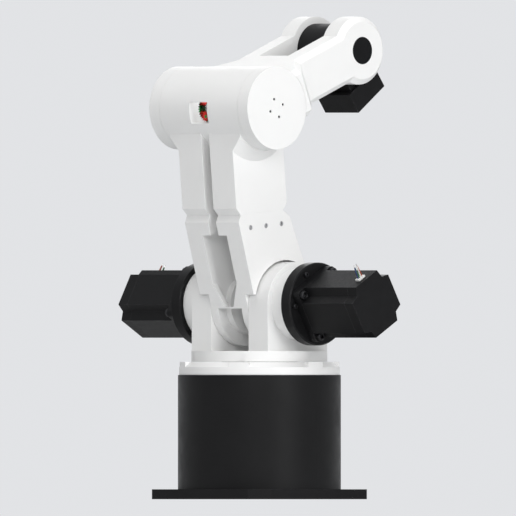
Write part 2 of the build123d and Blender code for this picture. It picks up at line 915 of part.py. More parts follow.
def wrist_bush():
    """Bush in the +X fork tip in which the wrist axle turns."""
    end = fork_outer - wrist_cap_thick
    ring = bar_x(wrist_cap_radius, fork_inner, end)
    return wrist_at * (ring - bar_x(wrist_axle_radius + running_fit, fork_inner, end))


def wrist_axle():
    """Axle stub of the +X side, held in the drum."""
    end = fork_outer - wrist_cap_thick - moving_gap
    return wrist_at * bar_x(wrist_axle_radius, fork_inner - wrist_axle_radius, end)


def wrist_drum():
    """Round drive housing between the fork tips, with the neck of the tool drive."""
    half = fork_inner - moving_gap
    drum = bar_x(drum_radius, -half, half)
    neck = block(-half, half, 0, box_start, -neck_half_depth, neck_half_depth)
    body = drum + neck
    bore = bar_x(wrist_axle_radius + seat_fit, fork_inner - wrist_axle_radius, half)
    for side in right_and_left(bore):
        body -= side
    return wrist_at * body


def tool_drive():
    """Square tool motor with bevelled edges and a pocket for the tool flange."""
    square = Rectangle(2 * box_half_width, 2 * box_half_depth)
    outline = chamfer(square.vertices(), box_bevel)
    plane = Plane((0, box_start, 0), x_dir=(1, 0, 0), z_dir=(0, 1, 0))
    body = extrude(plane * outline, box_end - box_start)
    body = chamfer(body.faces().sort_by(Axis.Y)[0].edges(), box_bevel - seat_fit)
    pocket = box_end + tool_flange_proud - tool_flange_thick - moving_gap
    body -= bar_y(tool_flange_radius + moving_gap, pocket, box_end)
    body -= bar_y(tool_shaft_radius + running_fit, box_start + box_bevel, box_end)
    return wrist_at * body


def tool_flange():
    """Turning flange with four tapped holes and a pilot bore."""
    face = box_end + tool_flange_proud
    back = face - tool_flange_thick
    disc = bar_y(tool_flange_radius, back, face)
    for index in range(tool_bolt_count):
        x, z = polar(tool_bolt_circle_radius, (index + 0.5) * 360 / tool_bolt_count)
        disc -= bar_y(tool_bolt_radius, back, face, x=x, z=z)
    disc -= bar_y(tool_pilot_radius, face - tool_pilot_depth, face)
    return wrist_at * disc


def tool_shaft():
    """Shaft of the tool drive that turns the tool flange."""
    back = box_end + tool_flange_proud - tool_flange_thick
    return wrist_at * bar_y(tool_shaft_radius, box_start + box_bevel + moving_gap, back)


def write(name, shape):
    """Write one node, which may hold several separate solids."""
    solids = shape if isinstance(shape, list) else [shape]
    solids = [solid for item in solids for solid in item.solids()]
    export_step(Compound(children=solids), f"parts/{name}.step")


def write_pair(name, shape):
    """Write the +X piece and its mirror image as two nodes."""
    right, left = right_and_left(shape)
    write(f"{name}_right", right)
    write(f"{name}_left", left)


def write_base():
    """Write the pieces that stay on the table."""
    waist_at = Pos(0, 0, shell_top - waist_gearbox_length)
    front, body, rear = motor_pieces()
    write("base_plate", base_plate())
    write("base_shell", base_shell())
    write("base_screws", base_screws())
    write("top_flange", top_flange())
    write("flange_screws", flange_screws())
    write("slew_outer_ring", slew_outer_ring())
    write("waist_gearbox", waist_gearbox())
    write("waist_motor_front", waist_at * front)
    write("waist_motor_body", waist_at * body)
    write("waist_motor_rear", waist_at * rear)
    write("waist_motor_bolts", [waist_at * one for one in motor_bolts(motor_flange_length)])


def write_turntable():
    """Write the pieces that turn about the waist."""
    write("turntable_disc", turntable_disc())
    write("upright_screws", upright_screws())
    write("slew_inner_ring", slew_inner_ring())
    write("waist_hub", waist_hub())
    write("waist_shaft", waist_shaft())
    write_pair("upright", upright())
    write("shoulder_bearings", right_and_left(shoulder_bearing()))
    write_pair("shoulder_gearbox", shoulder_gearbox())
    heads = gearbox_screws()
    write("gearbox_screws", heads + [Rot(0, 0, 180) * head for head in heads])
    for name, piece in zip(("front", "body", "rear"), motor_pieces()):
        right, left = on_both_motors(piece)
        write(f"motor_{name}_right", right)
        write(f"motor_{name}_left", left)
    bolts = [place for bolt in motor_bolts(motor_flange_length) for place in on_both_motors(bolt)]
    write("motor_bolts", bolts)
    write("lead_blocks", on_both_motors(lead_block()))
    for index in range(lead_count):
        write(f"motor_leads_{index + 1}", on_both_motors(lead(index)))


def write_upper_arm():
    """Write the pieces that turn about the shoulder."""
    write("lower_link", lower_link())
    write("upper_link", upper_link())
    write("link_screws", link_screws())
    write("shoulder_shafts", right_and_left(shoulder_shaft()))
    write("housing_covers", right_and_left(elbow_at * housing_cover()))
    write("elbow_bearings", right_and_left(elbow_at * elbow_bearing()))
    write("ring_gear", ring_gear())
    write("elbow_motor_plate", elbow_motor_plate())
    write("elbow_motor", elbow_motor())
    write("sun_gear", sun_gear())


def write_forearm():
    """Write the pieces that turn about the elbow."""
    write("forearm_frame", forearm_frame())
    write("hub_caps", right_and_left(hub_cap()))
    write("cap_screws", cap_screws())
    write("planet_carrier", planet_carrier())
    write("elbow_shaft_left", elbow_shaft_left())
    write("elbow_shaft_right", elbow_shaft_right())
    for index in range(planet_count):
        write(f"planet_gear_{index + 1}", planet(index))
    write("wrist_caps", right_and_left(wrist_cap()))
    write("wrist_bushes", right_and_left(wrist_bush()))


def write_wrist():
    """Write the pieces that turn about the wrist, and the tool flange."""
    write("wrist_axles", right_and_left(wrist_axle()))
    write("wrist_drum", wrist_drum())
    write("tool_drive", tool_drive())
    write("tool_flange", tool_flange())
    write("tool_shaft", tool_shaft())


os.makedirs("parts", exist_ok=True)
write_base()
write_turntable()
write_upper_arm()
write_forearm()
write_wrist()
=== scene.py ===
"""Looks of a desk-size robot arm, built round its solid model.

Metres. Z is up, X runs along the shoulder, elbow and wrist axles, and the forearm points to +Y.
"""
from __future__ import annotations

import logging
import math
from dataclasses import dataclass, field
from enum import Enum
from typing import Iterable, Sequence

import bmesh
import bpy
from mathutils import Matrix, Vector


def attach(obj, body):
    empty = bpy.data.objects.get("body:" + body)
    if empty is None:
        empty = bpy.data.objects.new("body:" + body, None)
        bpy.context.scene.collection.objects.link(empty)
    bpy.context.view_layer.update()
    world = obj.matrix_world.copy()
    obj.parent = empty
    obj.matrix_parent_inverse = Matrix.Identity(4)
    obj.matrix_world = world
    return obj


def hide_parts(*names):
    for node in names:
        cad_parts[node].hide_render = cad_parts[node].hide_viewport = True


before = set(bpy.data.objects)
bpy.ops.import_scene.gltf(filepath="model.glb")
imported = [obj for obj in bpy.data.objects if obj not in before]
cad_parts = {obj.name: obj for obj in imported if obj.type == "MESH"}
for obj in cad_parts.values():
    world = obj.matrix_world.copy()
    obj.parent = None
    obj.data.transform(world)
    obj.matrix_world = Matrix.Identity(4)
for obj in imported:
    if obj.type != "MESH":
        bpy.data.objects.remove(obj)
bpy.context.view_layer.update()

LOG = logging.getLogger("robot_arm")
MM = 0.001
RING_SIDES = 48
TUBE_SIDES = 16
CREASE_ANGLE = 32.0
KNURL_VALLEY = 0.965
NOISE_RANGE = (0.3, 0.7)
EDGE_RANGE = (0.99, 0.85)
WAVE_SCALE = math.pi / 10
TURNING_WANDER = 0.6
BEVEL_SAMPLES = 6
SOFT_EDGE = 0.4
WORN_EDGE = 0.35
BLACK_LIFT = 1.25
BLACK_SPECULAR = 0.1

Colour = tuple[float, float, float]


class Side(Enum):
    """The two sides of the arm, by the sign of X."""

    RIGHT = 1
    LEFT = -1


class Form(Enum):
    """Outline of one ring of a turned or forged piece."""

    ROUND = "round"
    HEXAGON = "hexagon"
    KNURLED = "knurled"


class Slot(Enum):
    """Material slots of the record."""

    WHITE = "white_plastic"
    BASE = "base_black"
    GEARBOX = "gearbox_black"
    MOTOR = "motor_black"
    SCREW = "dark_screws"
    PALE_SCREW = "pale_screws"
    BEARING = "bearing_steel"
    SHAFT = "shaft_steel"
    GREEN_GEAR = "gear_green"
    RED_GEAR = "gear_red"
    LEAD_BLOCK = "lead_block"
    LEAD_LIGHT = "lead_light"
    LEAD_BLUE = "lead_blue"
    LEAD_RED = "lead_red"
    LEAD_GREEN = "lead_green"


@dataclass(frozen=True)
class Ring:
    """One ring of a stack: its radius and height in millimetres, and its outline."""

    radius: float
    height: float
    form: Form = Form.ROUND


@dataclass(frozen=True)
class Waves:
    """Noise of a surface: waves to the metre, octaves, and relief in millimetres."""

    scale: float
    detail: float
    relief: float = 0.0
    strength: float = 1.0
    stretch: tuple[float, float, float] = (1.0, 1.0, 1.0)


WEAR_PATCHES = Waves(90, 4)


class Graph:
    """Shader graph of one material, with the few nodes that the finishes share."""

    def __init__(self, name: str) -> None:
        """Start a material with a plain shader.

        Args:
            name: Name of the material.
        """
        self.material = bpy.data.materials.new(name)
        self.material.use_nodes = True
        self.tree = self.material.node_tree
        self.shader = self.tree.nodes["Principled BSDF"]
        self.place = self.add("ShaderNodeTexCoord").outputs["Object"]

    def add(self, kind: str, **settings: object) -> bpy.types.Node:
        """Add a node.

        Args:
            kind: Node type.
            settings: Attributes to set on the node.

        Returns:
            The new node.
        """
        node = self.tree.nodes.new(kind)
        for key, value in settings.items():
            setattr(node, key, value)
        return node

    def link(self, out: bpy.types.NodeSocket, into: bpy.types.NodeSocket) -> None:
        """Connect an output to an input."""
        self.tree.links.new(out, into)

    def set(self, name: str, value: bpy.types.NodeSocket) -> None:
        """Feed a named input of the shader."""
        self.link(value, self.shader.inputs[name])

    def noise(self, waves: Waves) -> bpy.types.NodeSocket:
        """Noise in the piece's own space.

        Args:
            waves: Its scale, octaves and stretch.

        Returns:
            The value from 0 to 1.
        """
        mapping = self.add("ShaderNodeMapping")
        mapping.inputs["Scale"].default_value = waves.stretch
        self.link(self.place, mapping.inputs["Vector"])
        node = self.add("ShaderNodeTexNoise")
        node.inputs["Scale"].default_value = waves.scale
        node.inputs["Detail"].default_value = waves.detail
        self.link(mapping.outputs["Vector"], node.inputs["Vector"])
        return node.outputs["Fac"]

    def bands(self, pitch: float, axis: str) -> bpy.types.NodeSocket:
        """Regular bands across one axis.

        Args:
            pitch: Distance from band to band in millimetres.
            axis: X, Y or Z.

        Returns:
            The value from 0 to 1.
        """
        node = self.add("ShaderNodeTexWave", wave_type="BANDS", bands_direction=axis)
        node.inputs["Scale"].default_value = WAVE_SCALE / (pitch * MM)
        self.link(self.place, node.inputs["Vector"])
        return node.outputs["Fac"]

    def rings(self, pitch: float, axis: str, centre: Sequence[float]) -> bpy.types.NodeSocket:
        """Turned rings round an axis.

        Args:
            pitch: Distance from ring to ring in millimetres.
            axis: Direction of the axis.
            centre: A point on the axis, in metres.

        Returns:
            The value from 0 to 1.
        """
        mapping = self.add("ShaderNodeMapping", vector_type="POINT")
        mapping.inputs["Location"].default_value = [-value for value in centre]
        self.link(self.place, mapping.inputs["Vector"])
        node = self.add("ShaderNodeTexWave", wave_type="RINGS", rings_direction=axis)
        node.inputs["Scale"].default_value = WAVE_SCALE / (pitch * MM)
        node.inputs["Distortion"].default_value = TURNING_WANDER
        self.link(mapping.outputs["Vector"], node.inputs["Vector"])
        return node.outputs["Fac"]

    def spread(self, value: bpy.types.NodeSocket, low: float, high: float) -> bpy.types.NodeSocket:
        """Carry a value from its middle range to new limits.

        Args:
            value: Value from 0 to 1.
            low: Result at the range's lower end.
            high: Result at its upper end.

        Returns:
            The new value.
        """
        node = self.add("ShaderNodeMapRange")
        node.inputs["From Min"].default_value, node.inputs["From Max"].default_value = NOISE_RANGE
        node.inputs["To Min"].default_value = low
        node.inputs["To Max"].default_value = high
        self.link(value, node.inputs["Value"])
        return node.outputs["Result"]

    def mottle(self, value: bpy.types.NodeSocket, colour: Colour, factor: float) -> bpy.types.NodeSocket:
        """Colour that wanders between two shades.

        Args:
            value: Value from 0 at the darker shade to 1 at the lighter.
            colour: One of the shades.
            factor: The other shade's strength.

        Returns:
            The mottled colour.
        """
        dark, light = sorted((colour, tuple(part * factor for part in colour)))
        ramp = self.add("ShaderNodeValToRGB")
        for stop, position, shade in zip(ramp.color_ramp.elements, NOISE_RANGE, (dark, light)):
            stop.position = position
            stop.color = (*shade, 1)
        self.link(value, ramp.inputs["Fac"])
        return ramp.outputs["Color"]

    def gloss(self, waves: Waves, roughness: float, sheen: tuple[float, float]) -> None:
        """Let the roughness wander with noise, from a step below its middle to one above."""
        low, high = (roughness + part for part in sheen)
        self.set("Roughness", self.spread(self.noise(waves), low, high))

    def relief(self, waves: Waves) -> None:
        """Add noise as relief on top of what is there."""
        self.bump(self.noise(waves), waves.relief, waves.strength)

    def bump(self, value: bpy.types.NodeSocket, depth: float, strength: float = 1.0) -> None:
        """Add relief on top of what is there.

        Args:
            value: Height from 0 to 1.
            depth: Relief in millimetres.
            strength: Share of the relief that shows.
        """
        node = self.add("ShaderNodeBump")
        node.inputs["Distance"].default_value = depth * MM
        node.inputs["Strength"].default_value = strength
        self.link(value, node.inputs["Height"])
        normal = self.shader.inputs["Normal"]
        if normal.links:
            self.link(normal.links[0].from_socket, node.inputs["Normal"])
        self.link(node.outputs["Normal"], normal)

    def soften(self, width: float) -> None:
        """Round off the edges in the shading, before any relief is added.

        Args:
            width: Width of the soft edge in millimetres.
        """
        node = self.add("ShaderNodeBevel", samples=BEVEL_SAMPLES)
        node.inputs["Radius"].default_value = width * MM
        self.link(node.outputs["Normal"], self.shader.inputs["Normal"])

    def edges(self, width: float) -> bpy.types.NodeSocket:
        """Narrow bands along the edges, from 0 on flats to 1 on edges.

        Args:
            width: Width of the band in millimetres.

        Returns:
            The value from 0 to 1.
        """
        node = self.add("ShaderNodeBevel", samples=BEVEL_SAMPLES)
        node.inputs["Radius"].default_value = width * MM
        flat = self.add("ShaderNodeNewGeometry")
        product = self.add("ShaderNodeVectorMath", operation="DOT_PRODUCT")
        self.link(node.outputs["Normal"], product.inputs[0])
        self.link(flat.outputs["Normal"], product.inputs[1])
        reach = self.add("ShaderNodeMapRange")
        reach.inputs["From Min"].default_value, reach.inputs["From Max"].default_value = EDGE_RANGE
        self.link(product.outputs["Value"], reach.inputs["Value"])
        return reach.outputs["Result"]

    def fade(self, colour: Sequence[float], start: float, end: float) -> None:
        """Let the surface pass into a shown background away from the middle.

        Args:
            colour: Colour of the background.
            start: Distance at which the surface starts to pass into it, in metres.
            end: Distance at which only the background is shown, in metres.
        """
        length = self.add("ShaderNodeVectorMath", operation="LENGTH")
        self.link(self.place, length.inputs[0])
        ramp = self.add("ShaderNodeMapRange", interpolation_type="SMOOTHSTEP")
        ramp.inputs["From Min"].default_value = start
        ramp.inputs["From Max"].default_value = end
        self.link(length.outputs["Value"], ramp.inputs["Value"])
        path = self.add("ShaderNodeLightPath")
        share = self.add("ShaderNodeMath", operation="MULTIPLY")
        self.link(ramp.outputs["Result"], share.inputs[0])
        self.link(path.outputs["Is Camera Ray"], share.inputs[1])
        shown = self.add("ShaderNodeEmission")
        shown.inputs["Color"].default_value = colour
        mix = self.add("ShaderNodeMixShader")
        self.link(share.outputs["Value"], mix.inputs["Fac"])
        self.link(self.shader.outputs["BSDF"], mix.inputs[1])
        self.link(shown.outputs["Emission"], mix.inputs[2])
        out = self.tree.get_output_node("ALL")
        self.link(mix.outputs["Shader"], out.inputs["Surface"])

    def worn(self, colour: bpy.types.NodeSocket, rubbed: Colour, share: float) -> bpy.types.NodeSocket:
        """Rub the colour off along convex edges.

        Args:
            colour: Colour of the flats.
            rubbed: Colour of a rubbed edge.
            share: Most that is rubbed off.

        Returns:
            The mixed colour.
        """
        patch = self.spread(self.noise(WEAR_PATCHES), 0.0, share)
        amount = self.add("ShaderNodeMath", operation="MULTIPLY")
        self.link(self.edges(WORN_EDGE), amount.inputs[0])
        self.link(patch, amount.inputs[1])
        mix = self.add("ShaderNodeMix", data_type="RGBA")
        self.link(amount.outputs["Value"], mix.inputs["Factor"])
        self.link(colour, mix.inputs["A"])
        mix.inputs["B"].default_value = (*rubbed, 1)
        return mix.outputs["Result"]

    def blacken(self, value: bpy.types.NodeSocket, colour: Colour, rubbed: Colour, share: float) -> None:
        """Set a dull black that wanders a little with a value and is rubbed along its edges."""
        self.set("Base Color", self.worn(self.mottle(value, colour, BLACK_LIFT), rubbed, share))
        self.shader.inputs["Specular IOR Level"].default_value = BLACK_SPECULAR


@dataclass(frozen=True)
class Finish:
    """A finish that makes its material once.

    Args:
        name: Name of the material.
        slot: Slot of the record that it belongs to.
        colour: Main colour.
    """

    name: str
    slot: Slot
    colour: Colour

    def paint(self, graph: Graph) -> None:
        """Set the shader of a new material."""
        raise NotImplementedError

    def material(self) -> bpy.types.Material:
        """Find the finish's material, made on first use.

        Returns:
            The material.
        """
        found = bpy.data.materials.get(self.name)
        if found is None:
            graph = Graph(self.name)
            graph.soften(SOFT_EDGE)
            self.paint(graph)
            found = graph.material
        return found


@dataclass(frozen=True)
class MouldedPlastic(Finish):
    """Moulded plastic with a fine spark-eroded texture and slight flow shading."""

    shade: float = 0.985
    roughness: float = 0.42
    rubbed: Colour = (0.9, 0.9, 0.9)
    wear: float = 0.25
    refraction: float = 1.49
    clouds: Waves = Waves(26, 5)
    smears: Waves = Waves(140, 4)
    sheen: tuple[float, float] = (-0.05, 0.06)
    grain: Waves = Waves(2600, 3, 0.012)
    flow: Waves = Waves(60, 2, 0.02, 0.3)

    def paint(self, graph: Graph) -> None:
        """Set colour, gloss and grain.

        Args:
            graph: The material's graph.
        """
        body = graph.mottle(graph.noise(self.clouds), self.colour, self.shade)
        graph.set("Base Color", graph.worn(body, self.rubbed, self.wear))
        graph.gloss(self.smears, self.roughness, self.sheen)
        graph.shader.inputs["IOR"].default_value = self.refraction
        graph.relief(self.grain)
        graph.relief(self.flow)


@dataclass(frozen=True)
class GlossCoat(Finish):
    """Baked coat with the faint orange peel of a sprayed surface."""

    roughness: float = 0.4
    rubbed: Colour = (0.16, 0.16, 0.165)
    wear: float = 0.3
    clouds: Waves = Waves(18, 4)
    smears: Waves = Waves(60, 5)
    sheen: tuple[float, float] = (-0.05, 0.08)
    peel: Waves = Waves(700, 3, 0.02)

    def paint(self, graph: Graph) -> None:
        """Set colour, coat and peel.

        Args:
            graph: The material's graph.
        """
        graph.blacken(graph.noise(self.clouds), self.colour, self.rubbed, self.wear)
        graph.gloss(self.smears, self.roughness, self.sheen)
        graph.relief(self.peel)


@dataclass(frozen=True)
class Anodised(Finish):
    """Turned and black-anodised aluminium, turned about an axis through a point in metres."""

    axis: str
    centre: tuple[float, float, float]
    roughness: float = 0.34
    rubbed: Colour = (0.3, 0.3, 0.31)
    wear: float = 0.45
    clouds: Waves = Waves(40, 4)
    smears: Waves = Waves(200, 3)
    sheen: tuple[float, float] = (-0.06, 0.08)
    turning_pitch: float = 0.35
    turning_depth: float = 0.01
    grain: Waves = Waves(1800, 2, 0.006)

    def paint(self, graph: Graph) -> None:
        """Set colour, turning marks and gloss.

        Args:
            graph: The material's graph.
        """
        graph.blacken(graph.noise(self.clouds), self.colour, self.rubbed, self.wear)
        graph.gloss(self.smears, self.roughness, self.sheen)
        graph.bump(graph.rings(self.turning_pitch, self.axis, self.centre), self.turning_depth)
        graph.relief(self.grain)


@dataclass(frozen=True)
class Laminated(Finish):
    """Coated stack of thin steel sheets, edge on, stacked along an axis."""

    axis: str
    pitch: float = 0.8
    depth: float = 0.03
    strength: float = 0.8
    roughness: float = 0.38
    rubbed: Colour = (0.22, 0.22, 0.23)
    wear: float = 0.4
    smears: Waves = Waves(300, 3)
    sheen: tuple[float, float] = (-0.03, 0.05)
    grain: Waves = Waves(1500, 3, 0.01)

    def paint(self, graph: Graph) -> None:
        """Set colour and the sheets' edges.

        Args:
            graph: The material's graph.
        """
        sheets = graph.bands(self.pitch, self.axis)
        graph.blacken(sheets, self.colour, self.rubbed, self.wear)
        graph.gloss(self.smears, self.roughness, self.sheen)
        graph.bump(sheets, self.depth, self.strength)
        graph.relief(self.grain)


@dataclass(frozen=True)
class CastBlack(Finish):
    """Die-cast cover under a satin black coat."""

    roughness: float = 0.4
    rubbed: Colour = (0.25, 0.25, 0.26)
    wear: float = 0.4
    clouds: Waves = Waves(70, 5)
    smears: Waves = Waves(300, 4)
    sheen: tuple[float, float] = (-0.04, 0.06)
    grain: Waves = Waves(1100, 4, 0.02)

    def paint(self, graph: Graph) -> None:
        """Set colour, gloss and cast grain.

        Args:
            graph: The material's graph.
        """
        graph.blacken(graph.noise(self.clouds), self.colour, self.rubbed, self.wear)
        graph.gloss(self.smears, self.roughness, self.sheen)
        graph.relief(self.grain)


@dataclass(frozen=True)
class Steel(Finish):
    """Bare or oxide-blackened steel with fine tool marks."""

    roughness: float = 0.28
    shade: float = 0.8
    smudges: Waves = Waves(90, 4)
    smears: Waves = Waves(300, 4)
    sheen: tuple[float, float] = (-0.07, 0.1)
    marks: Waves = Waves(90, 3, 0.006, stretch=(40.0, 1.0, 1.0))

    def paint(self, graph: Graph) -> None:
        """Set colour, tool marks and smudges.

        Args:
            graph: The material's graph.
        """
        graph.set("Base Color", graph.mottle(graph.noise(self.smudges), self.colour, self.shade))
        graph.gloss(self.smears, self.roughness, self.sheen)
        graph.shader.inputs["Metallic"].default_value = 1.0
        graph.relief(self.marks)


@dataclass(frozen=True)
class LeadSleeve(Finish):
    """Soft extruded sleeve of a motor lead."""

    roughness: float = 0.42
    shade: float = 0.8
    coat: float = 0.1
    clouds: Waves = Waves(500, 3)
    smears: Waves = Waves(900, 2)
    sheen: tuple[float, float] = (-0.07, 0.08)
    draw: Waves = Waves(2500, 2, 0.01)

    def paint(self, graph: Graph) -> None:
        """Set colour, soft gloss and draw marks.

        Args:
            graph: The material's graph.
        """
        graph.set("Base Color", graph.mottle(graph.noise(self.clouds), self.colour, self.shade))
        graph.gloss(self.smears, self.roughness, self.sheen)
        graph.shader.inputs["Coat Weight"].default_value = self.coat
        graph.relief(self.draw)


def outline_radius(ring: Ring, angle: float, index: int) -> float:
    """Radius of a ring's outline at one of its corners.

    Args:
        ring: The ring.
        angle: Angle in radians.
        index: Number of the corner, which a knurl alternates with.

    Returns:
        The radius in millimetres.
    """
    if ring.form is Form.HEXAGON:
        folded = (angle % (math.pi / 3)) - math.pi / 6
        return ring.radius / math.cos(folded)
    if ring.form is Form.KNURLED:
        return ring.radius * (1.0 if index % 2 else KNURL_VALLEY)
    return ring.radius


def close_loops(
    mesh: bmesh.types.BMesh, loops: Sequence[Sequence[bmesh.types.BMVert]], finish: int = 0
) -> None:
    """Join loops of equal length by faces and close both ends.

    Args:
        mesh: Mesh that holds the loops.
        loops: Loops of vertices from one end to the other.
        finish: Index of the material.
    """
    faces = []
    for low, high in zip(loops, loops[1:]):
        for index in range(len(low)):
            after = (index + 1) % len(low)
            faces.append(mesh.faces.new((low[index], low[after], high[after], high[index])))
    faces.append(mesh.faces.new(list(reversed(loops[0]))))
    faces.append(mesh.faces.new(loops[-1]))
    for face in faces:
        face.smooth = True
        face.material_index = finish


def add_stack(mesh: bmesh.types.BMesh, rings: Sequence[Ring], place: Matrix) -> None:
    """Add a closed piece of stacked rings about the local Z axis.

    Args:
        mesh: Mesh that takes the piece.
        rings: Rings from one end to the other, the ends closed by a flat fan.
        place: Place of the piece, in metres.
    """
    loops = []
    for ring in rings:
        loop = []
        for index in range(RING_SIDES):
            angle = 2 * math.pi * index / RING_SIDES
            radius = outline_radius(ring, angle, index)
            spot = Vector((radius * math.cos(angle), radius * math.sin(angle), ring.height)) * MM
            loop.append(mesh.verts.new(place @ spot))
        loops.append(loop)
    close_loops(mesh, loops)


def add_tube(mesh: bmesh.types.BMesh, line: Sequence[Vector], radius: float, finish: int = 0) -> None:
    """Add a closed tube along a line.

    Args:
        mesh: Mesh that takes the tube.
        line: Points in metres.
        radius: Radius of the tube in millimetres.
        finish: Index of the material.
    """
    loops = []
    normal = None
    for index, point in enumerate(line):
        before = line[max(index - 1, 0)]
        after = line[min(index + 1, len(line) - 1)]
        along = (after - before).normalized()
        if normal is None:
            normal = along.orthogonal().normalized()
        normal = (normal - along * normal.dot(along)).normalized()
        other = along.cross(normal)
        loop = []
        for corner in range(TUBE_SIDES):
            angle = 2 * math.pi * corner / TUBE_SIDES
            offset = normal * math.cos(angle) + other * math.sin(angle)
            loop.append(mesh.verts.new(point + offset * radius * MM))
        loops.append(loop)
    close_loops(mesh, loops, finish)


def crease(mesh: bmesh.types.BMesh) -> None:
    """Turn the faces outward and keep the sharper edges sharp.

    Args:
        mesh: The mesh.
    """
    bmesh.ops.recalc_face_normals(mesh, faces=mesh.faces)
    for edge in mesh.edges:
        if len(edge.link_faces) == 2:
            edge.smooth = edge.calc_face_angle() < math.radians(CREASE_ANGLE)


@dataclass
class Piece:
    """A new piece of the arm, from its name to its place in the model.

    Args:
        name: Name of the piece.
        body: Body that it rides on.
        finishes: Its finishes, the first of them naming its slot.
        nodes: Nodes of the solid model that it stands for.
    """

    name: str
    body: str
    finishes: list[Finish]
    nodes: tuple[str, ...] = ()
    mesh: bmesh.types.BMesh = field(default_factory=bmesh.new)

    def finish(self) -> None:
        """Close the mesh and set the piece in the model."""
        crease(self.mesh)
        data = bpy.data.meshes.new(self.name)
        self.mesh.to_mesh(data)
        self.mesh.free()
        for finish in self.finishes:
            data.materials.append(finish.material())
        piece = bpy.data.objects.new(self.name, data)
        bpy.context.scene.collection.objects.link(piece)
        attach(piece, self.body)
        if self.nodes:
            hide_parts(*self.nodes)
        LOG.info("%s rides on %s and stands for %s", self.name, self.body, ", ".join(self.nodes) or "nothing")


def dress(nodes: Iterable[str], finish: Finish) -> None:
    """Give nodes of the solid model a finish.

    Args:
        nodes: Names of the nodes.
        finish: Their finish.
    """
    for name in nodes:
        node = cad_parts[name]
        material = finish.material()
        for slot in node.material_slots:
            slot.material = material
        if not node.material_slots:
            node.data.materials.append(material)
        LOG.info("%s takes %s", name, finish.name)


def at(x: float = 0.0, y: float = 0.0, z: float = 0.0) -> Matrix:
    """Place moved by millimetres."""
    return Matrix.Translation(Vector((x, y, z)) * MM)


def turned(angle: float, axis: str) -> Matrix:
    """Place turned by degrees about X, Y or Z."""
    return Matrix.Rotation(math.radians(angle), 4, axis)


@dataclass(frozen=True)
class CapScrew:
    """Cap screw with a hexagon socket, its head's underside on the local X-Y plane.

    The first four values are radii and lengths in millimetres. The ones after knurled are shares
    of the thread's radius, the head's radius, the head's height or the socket's radius.
    """

    thread: float
    head_radius: float
    head_height: float
    grip: float
    knurled: bool = True
    tip_of_thread: float = 0.55
    point_of_thread: float = 0.45
    washer_of_head: float = 0.93
    washer_of_height: float = 0.06
    rim_of_head: float = 0.12
    socket_of_head: float = 0.45
    mouth_of_socket: float = 1.24
    mouth_of_head: float = 0.08
    floor_of_height: float = 0.4
    cone_of_socket: float = 0.3
    cone_of_height: float = 0.3

    def add(self, mesh: bmesh.types.BMesh, place: Matrix) -> None:
        """Add the screw.

        Args:
            mesh: Mesh that takes the screw.
            place: Place of the underside of the head, the screw pointing down.
        """
        side = Form.KNURLED if self.knurled else Form.ROUND
        rim = self.rim_of_head * self.head_radius
        top = self.head_height
        socket = self.socket_of_head * self.head_radius
        rings = [
            Ring(self.tip_of_thread * self.thread, -self.grip),
            Ring(self.thread, -self.grip + self.point_of_thread * self.thread),
            Ring(self.thread, 0),
            Ring(self.washer_of_head * self.head_radius, 0),
            Ring(self.head_radius, self.washer_of_height * top, side),
            Ring(self.head_radius, top - rim, side),
            Ring(self.head_radius - rim, top),
            Ring(self.mouth_of_socket * socket, top),
            Ring(socket, top - self.mouth_of_head * self.head_radius, Form.HEXAGON),
            Ring(socket, self.floor_of_height * top, Form.HEXAGON),
            Ring(self.cone_of_socket * socket, self.cone_of_height * top),
        ]
        add_stack(mesh, rings, place)


@dataclass(frozen=True)
class GrubScrew:
    """Headless screw with a chamfered end and a hexagon socket, from the local X-Y plane down.

    The first two values are in millimetres. The others are shares of the thread's radius or the
    socket's radius.
    """

    thread: float
    length: float
    tip_of_thread: float = 0.7
    point_of_thread: float = 0.3
    rim_of_thread: float = 0.16
    socket_of_thread: float = 0.52
    mouth_of_socket: float = 1.15
    mouth_of_thread: float = 0.1
    depth_of_thread: float = 1.1
    cone_of_socket: float = 0.3
    cone_of_thread: float = 1.3

    def add(self, mesh: bmesh.types.BMesh, place: Matrix) -> None:
        """Add the screw.

        Args:
            mesh: Mesh that takes the screw.
            place: Place of its outer end.
        """
        rim = self.rim_of_thread * self.thread
        socket = self.socket_of_thread * self.thread
        rings = [
            Ring(self.tip_of_thread * self.thread, -self.length),
            Ring(self.thread, -self.length + self.point_of_thread * self.thread),
            Ring(self.thread, -rim),
            Ring(self.thread - rim, 0),
            Ring(self.mouth_of_socket * socket, 0),
            Ring(socket, -self.mouth_of_thread * self.thread, Form.HEXAGON),
            Ring(socket, -self.depth_of_thread * self.thread, Form.HEXAGON),
            Ring(self.cone_of_socket * socket, -self.cone_of_thread * self.thread),
        ]
        add_stack(mesh, rings, place)


SHOULDER = (0.0, 0.0, 195.2)
SHOULDER_POINT = tuple(value * MM for value in SHOULDER)
ELBOW = (0.0, -44.8, 391.2)
MOTOR_FLANGE = 9.0
MOTOR_BOLT = CapScrew(2.5, 4.25, 4.25, MOTOR_FLANGE)
MOTOR_BOLT_PITCH = 47.1

